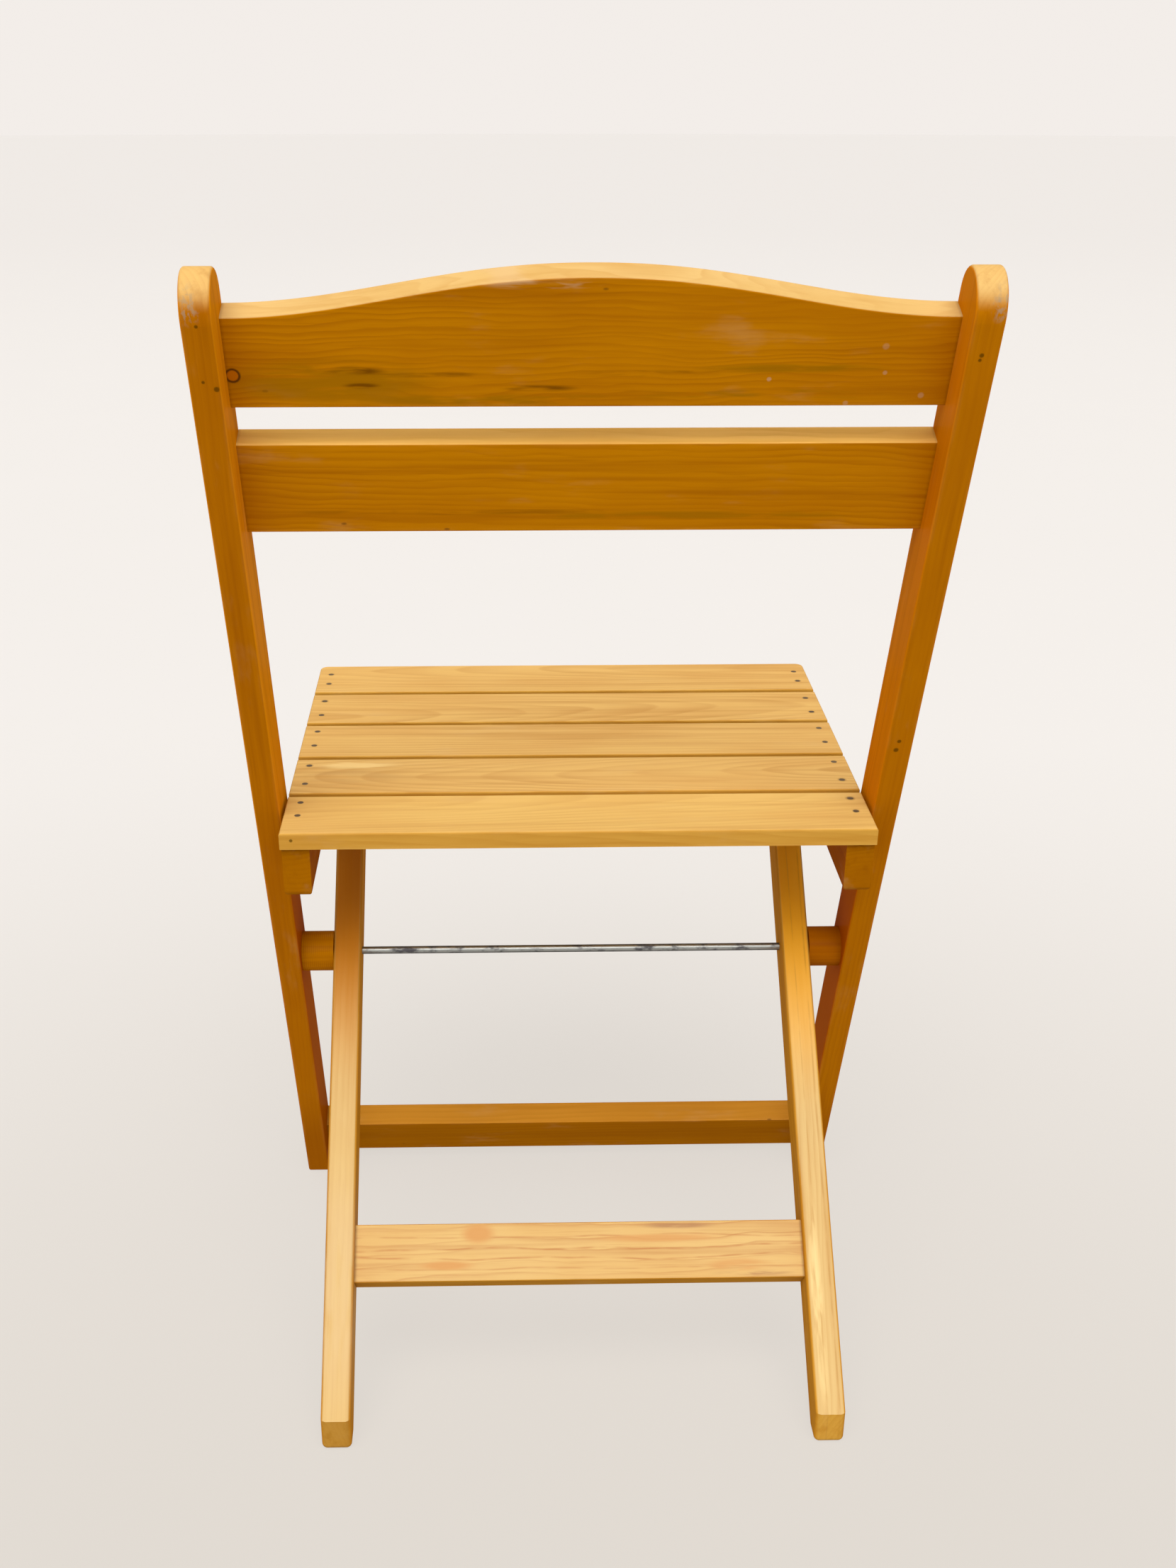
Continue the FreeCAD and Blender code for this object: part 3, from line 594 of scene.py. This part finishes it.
metal(["pivot_rod", "slide_rod", "left_rod_washer", "right_rod_washer", "left_rod_nut", "right_rod_nut"],
      (0.40, 0.42, 0.41), (0.13, 0.13, 0.145), 0.34, 3.3, dark_reflection=0.9)
metal(["slat_nails"], (0.110, 0.068, 0.032), (0.05, 0.03, 0.016), 0.6, 1.3, shine=0.12)
metal(["left_seat_screw", "right_seat_screw", "slide_rod_clips"],
      (0.55, 0.54, 0.50), (0.25, 0.22, 0.16), 0.3, 2.3)
plain_grain(["crest_rail_dowels", "lower_rail_dowels", "front_stretcher_dowels", "rear_stretcher_dowels"],
            (0.62, 0.42, 0.24), (0.42, 0.26, 0.13), 0.5, 0.7)
plain_grain(["left_seat_bush", "right_seat_bush"], (0.75, 0.73, 0.68), (0.66, 0.64, 0.58), 0.4, 1.7)

# ---- floor, light and camera ---------------------------------------------------------------------
floor_mesh = bpy.data.meshes.new("floor")
FLOOR_REACH, FLOOR_SIDES = 40.0, 96
angles = [2 * math.pi * k / FLOOR_SIDES for k in range(FLOOR_SIDES)]
rim = [(FLOOR_REACH * math.cos(angle), FLOOR_REACH * math.sin(angle), 0.0) for angle in angles]
floor_mesh.from_pydata(rim, [], [list(range(FLOOR_SIDES))])
floor = bpy.data.objects.new("floor", floor_mesh)
bpy.context.scene.collection.objects.link(floor)
f = Tree("floor_paint")
spread = f.vector("LENGTH", f.vector("SUBTRACT", f.object_point(), (0.0, 0.9, 0.0)))
paper = f.noise(f.object_point(), 3.0, 2.0)
# the floor is darker towards the camera side and paler farther off: painted shade
tone = f.mix(f.span(spread, 0.3, 2.4), (0.052, 0.044, 0.034), (0.162, 0.162, 0.171))
tone = f.mix(f.span(spread, 4.0, 14.0), tone, (0.132, 0.130, 0.139))
f.feed(f.shader.inputs["Base Color"], f.mix(f.math("MULTIPLY", paper, 0.04), tone, (0.05, 0.045, 0.04)))
# the floor lights itself a little, so that only a faint shadow shows on it
f.shader.inputs["Emission Color"].default_value = (0.667, 0.631, 0.587, 1.0)
f.shader.inputs["Emission Strength"].default_value = 1.0
f.shader.inputs["Roughness"].default_value = 0.9
f.shader.inputs["Specular IOR Level"].default_value = 0.1
floor_mesh.materials.append(f.material)

world = bpy.data.worlds.new("studio")
bpy.context.scene.world = world
world.use_nodes = True
sky = world.node_tree
KEY_FROM = Vector((0.05, 0.50, 0.86)).normalized()        # a broad soft window, high behind the chair
AMBIENT, KEY_RADIANCE = (0.34, 0.335, 0.33), (5.4, 5.25, 5.0)
BACKDROP = (0.896, 0.851, 0.815)
direction = sky.nodes.new("ShaderNodeTexCoord")
toward = sky.nodes.new("ShaderNodeVectorMath")
toward.operation = "DOT_PRODUCT"
toward.inputs[1].default_value = KEY_FROM
sky.links.new(direction.outputs["Generated"], toward.inputs[0])
window = sky.nodes.new("ShaderNodeMapRange")
window.interpolation_type = "SMOOTHSTEP"
window.inputs["From Min"].default_value = math.cos(math.radians(42))
window.inputs["From Max"].default_value = math.cos(math.radians(14))
sky.links.new(toward.outputs["Value"], window.inputs["Value"])
shade = sky.nodes.new("ShaderNodeMix")
shade.data_type = "RGBA"
sky.links.new(window.outputs[0], shade.inputs["Factor"])
shade.inputs[6].default_value = (*AMBIENT, 1.0)
shade.inputs[7].default_value = (*KEY_RADIANCE, 1.0)
seen = sky.nodes.new("ShaderNodeLightPath")
chosen = sky.nodes.new("ShaderNodeMix")
chosen.data_type = "RGBA"
sky.links.new(seen.outputs["Is Camera Ray"], chosen.inputs["Factor"])
sky.links.new(shade.outputs[2], chosen.inputs[6])
chosen.inputs[7].default_value = (*BACKDROP, 1.0)
sky.links.new(chosen.outputs[2], sky.nodes["Background"].inputs["Color"])


def soft_lamp(name, place, aim, size, watts, colour):
    data = bpy.data.lights.new(name, "AREA")
    data.shape = "DISK"
    data.size = size
    data.energy = watts
    data.color = colour
    lamp = bpy.data.objects.new(name, data)
    lamp.location = place
    lamp.rotation_euler = (Vector(aim) - Vector(place)).to_track_quat("-Z", "Y").to_euler()
    bpy.context.scene.collection.objects.link(lamp)


soft_lamp("fill", (-1.6, -1.2, 2.4), (0, 0, 0.5), 1.2, 3.0, (1.0, 0.98, 0.95))

CAMERA_AT = Vector((0.0558, 1.2587, 0.8877))
CAMERA_YAW, CAMERA_PITCH = 0.0217, 0.4611
right = Vector((-math.cos(CAMERA_YAW), math.sin(CAMERA_YAW), 0))
level = math.cos(CAMERA_PITCH)
forward = Vector((-math.sin(CAMERA_YAW) * level, -math.cos(CAMERA_YAW) * level, -math.sin(CAMERA_PITCH)))
upward = right.cross(forward)
camera_data = bpy.data.cameras.new("camera")
camera_data.sensor_fit = "HORIZONTAL"
camera_data.sensor_width = 36.0
camera_data.lens = 53.95
camera_data.shift_x = 0.0437
camera_data.shift_y = 0.1520
camera_data.clip_start = 0.01
camera_data.clip_end = 200.0
camera = bpy.data.objects.new("camera", camera_data)
turn = Matrix((right, upward, -forward)).transposed()
camera.matrix_world = Matrix.Translation(CAMERA_AT) @ turn.to_4x4()
bpy.context.scene.collection.objects.link(camera)
bpy.context.scene.camera = camera
bpy.context.scene.view_settings.view_transform = "Standard"
